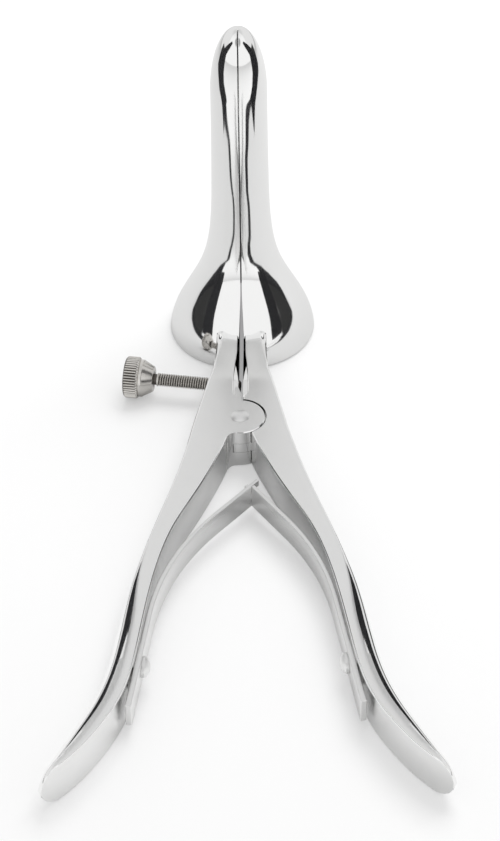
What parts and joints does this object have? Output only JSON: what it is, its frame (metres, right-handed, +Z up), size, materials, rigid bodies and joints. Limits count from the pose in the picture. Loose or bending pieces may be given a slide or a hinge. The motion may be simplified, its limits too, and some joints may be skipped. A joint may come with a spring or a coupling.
{
  "type": "anal speculum",
  "caption": "Polished steel speculum with half-tube blades on a flared bell, sprung handles, a box joint and a knurled thumb screw that holds the blades open.",
  "frame": {"origin": "on the pivot's axis, in the plane on which the instrument lies", "axes": "+Z up along the pivot and along the blades, +Y from the handles to the blades, +X to the right half"},
  "size_m": [0.1025, 0.2127, 0.1055],
  "materials": {
    "polished_steel": "mirror polished stainless steel",
    "spring_steel": "satin ground along the spring",
    "screw_steel": "turned, with a straight knurl on the head"
  },
  "bodies": {
    "left_side": {"left_half": "polished_steel", "pivot_rivet": "polished_steel", "left_spring": "spring_steel", "left_spring_rivet": "polished_steel"},
    "right_side": {"right_half": "polished_steel", "right_spring": "spring_steel", "right_spring_rivet": "polished_steel"},
    "screw": {"thumb_screw": "screw_steel"}
  },
  "joints": [
    {"name": "blade_pivot", "type": "hinge", "parent": "left_side", "child": "right_side", "pos_m": [0, 0, 0.00625], "axis": [0, 0, -1], "range_deg": [0, 22], "stiffness_Nm_per_rad": 3, "springref_deg": -8.59, "deforming": ["left_spring", "right_spring"]},
    {"name": "thumb_screw_feed", "type": "slide", "parent": "left_side", "child": "screw", "axis": [-0.989, 0.1478, 0], "range_m": [0, 0.006]}
  ]
}
